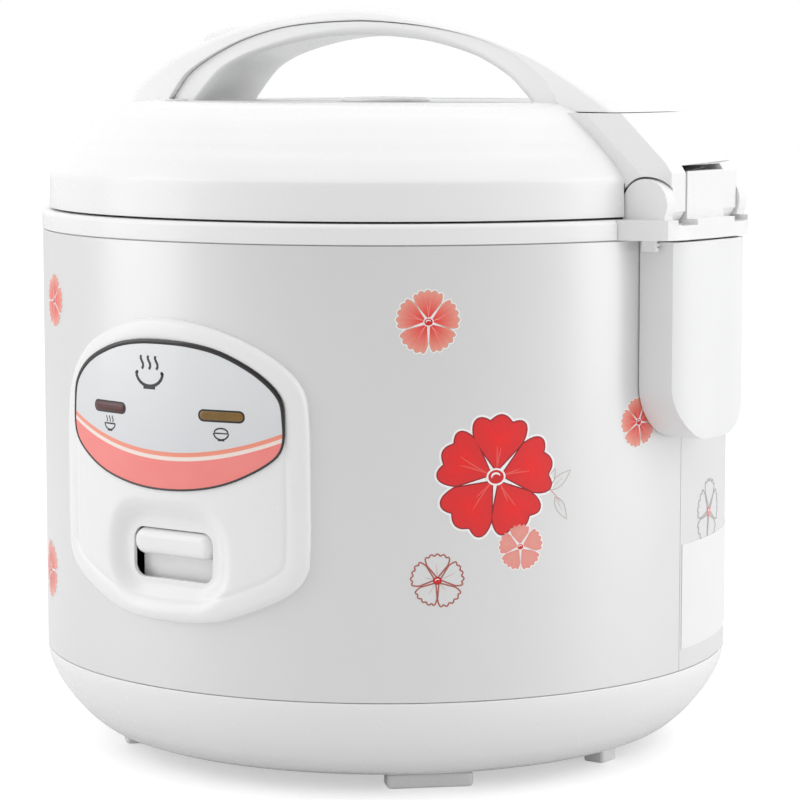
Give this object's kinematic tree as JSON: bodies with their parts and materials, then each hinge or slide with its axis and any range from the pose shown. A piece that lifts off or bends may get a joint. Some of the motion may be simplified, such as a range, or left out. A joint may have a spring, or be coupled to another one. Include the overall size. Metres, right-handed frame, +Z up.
{
  "type": "rice cooker",
  "caption": "White rice cooker with a domed hinged lid, arched carrying handle, front panel with one cook key, metal shell with flower decals and a drip cup at the hinge.",
  "frame": {"origin": "body axis at the plane the feet stand on", "axes": "+Z up; -Y towards the control panel; +X towards the lid hinge and drip cup"},
  "size_m": [0.2753, 0.2642, 0.2774],
  "materials": {
    "white_abs": "moulded white, soft gloss",
    "painted_sheet": "silver-white satin paint on sheet steel",
    "grey_abs": "light grey moulded",
    "key_white": "white gloss",
    "frosted_plastic": "frosted translucent",
    "zinc_steel": "zinc plated",
    "spring_steel": "spring wire",
    "galvanised_sheet": "galvanised sheet",
    "cast_aluminium": "cast, turned face",
    "lid_aluminium": "anodised sheet",
    "nonstick_coat": "dark non-stick coated aluminium",
    "dark_chrome": "black chrome trim",
    "printed_label": "printed film, light grey with a salmon band",
    "red_lens": "dark red lens",
    "amber_lens": "amber lens",
    "lamp_glass": "neon lamp in clear holder",
    "nickel_blades": "nickel plated",
    "black_plastic": "moulded",
    "white_film": "blank white sticker",
    "silicone": "translucent white silicone"
  },
  "bodies": {
    "base": {"base_bowl": "white_abs", "bottom_cover": "white_abs", "base_screws": "zinc_steel", "foot_pads": "white_abs", "support_foot": "white_abs", "outer_shell": "painted_sheet", "top_ring": "white_abs", "hinge_base": "white_abs", "hinge_pin": "zinc_steel", "hinge_spring": "spring_steel", "latch_catch": "zinc_steel", "inner_liner": "galvanised_sheet", "heating_plate": "cast_aluminium", "heater_element": "zinc_steel", "plate_supports": "zinc_steel", "sensor_holder": "galvanised_sheet", "lever_bracket": "galvanised_sheet", "lever_pin": "zinc_steel", "micro_switch": "black_plastic", "control_panel": "white_abs", "display_trim": "dark_chrome", "panel_label": "printed_label", "cook_lens": "red_lens", "warm_lens": "amber_lens", "indicator_lamps": "lamp_glass", "inlet_housing": "white_abs", "inlet_pins": "nickel_blades", "terminal_block": "black_plastic", "thermal_fuse": "zinc_steel", "inner_pot": "nonstick_coat", "rating_label": "white_film", "sensor_spring": "spring_steel"},
    "thermostat": {"thermostat_cup": "cast_aluminium", "sensor_ferrite": "black_plastic"},
    "magnet": {"magnet_rod": "zinc_steel"},
    "switch_lever": {"magnet_lever": "galvanised_sheet"},
    "cook_key": {"switch_key": "key_white"},
    "lid": {"lid_cover": "white_abs", "top_plate": "grey_abs", "steam_tube": "silicone", "lid_liner": "white_abs", "lid_screws": "zinc_steel", "inner_lid_plate": "lid_aluminium", "lid_seal": "silicone", "plate_plug": "silicone", "handle_cover": "white_abs", "handle_core": "white_abs", "rear_cover": "white_abs", "latch_pin": "zinc_steel", "button_spring": "spring_steel"},
    "button": {"release_button": "key_white"},
    "latch": {"latch_hook": "galvanised_sheet"},
    "vent": {"vent_cap": "grey_abs"},
    "drip_cup": {"collector_cup": "frosted_plastic"}
  },
  "joints": [
    {"name": "lid_hinge", "type": "hinge", "parent": "base", "child": "lid", "pos_m": [0.132, 0, 0.2072], "axis": [0, 1, 0], "range_deg": [0, 80]},
    {"name": "button_press", "type": "slide", "parent": "lid", "child": "button", "axis": [0.3487, 0, -0.9372], "range_m": [0, 0.0033], "stiffness_N_per_m": 800, "springref_m": -0.002, "deforming": ["button_spring"]},
    {"name": "latch_turn", "type": "hinge", "parent": "lid", "child": "latch", "pos_m": [-0.112, 0, 0.222], "axis": [0, 1, 0], "range_deg": [0, 5.75]},
    {"name": "vent_lift", "type": "slide", "parent": "lid", "child": "vent", "axis": [0, 0, 1], "range_m": [0, 0.016]},
    {"name": "collector_pull", "type": "slide", "parent": "base", "child": "drip_cup", "axis": [1, 0, 0], "range_m": [0, 0.06]},
    {"name": "key_press", "type": "slide", "parent": "base", "child": "cook_key", "axis": [0, 0, -1], "range_m": [0, 0.007], "stiffness_N_per_m": 300, "springref_m": -0.004},
    {"name": "lever_turn", "type": "hinge", "parent": "base", "child": "switch_lever", "pos_m": [0, -0.055, 0.0305], "axis": [1, 0, 0], "range_deg": [0, 6.4]},
    {"name": "magnet_lift", "type": "slide", "parent": "base", "child": "magnet", "axis": [0, 0, 1], "range_m": [0, 0.0062]},
    {"name": "sensor_press", "type": "slide", "parent": "base", "child": "thermostat", "axis": [0, 0, -1], "range_m": [0, 0.0015], "stiffness_N_per_m": 400, "springref_m": -0.004, "deforming": ["sensor_spring"]}
  ],
  "couplings": [
    {"joint": "latch_turn", "follows": "button_press", "rad_per_m": 29.92},
    {"joint": "lever_turn", "follows": "key_press", "rad_per_m": 15.6},
    {"joint": "magnet_lift", "follows": "key_press", "ratio": 0.868}
  ]
}
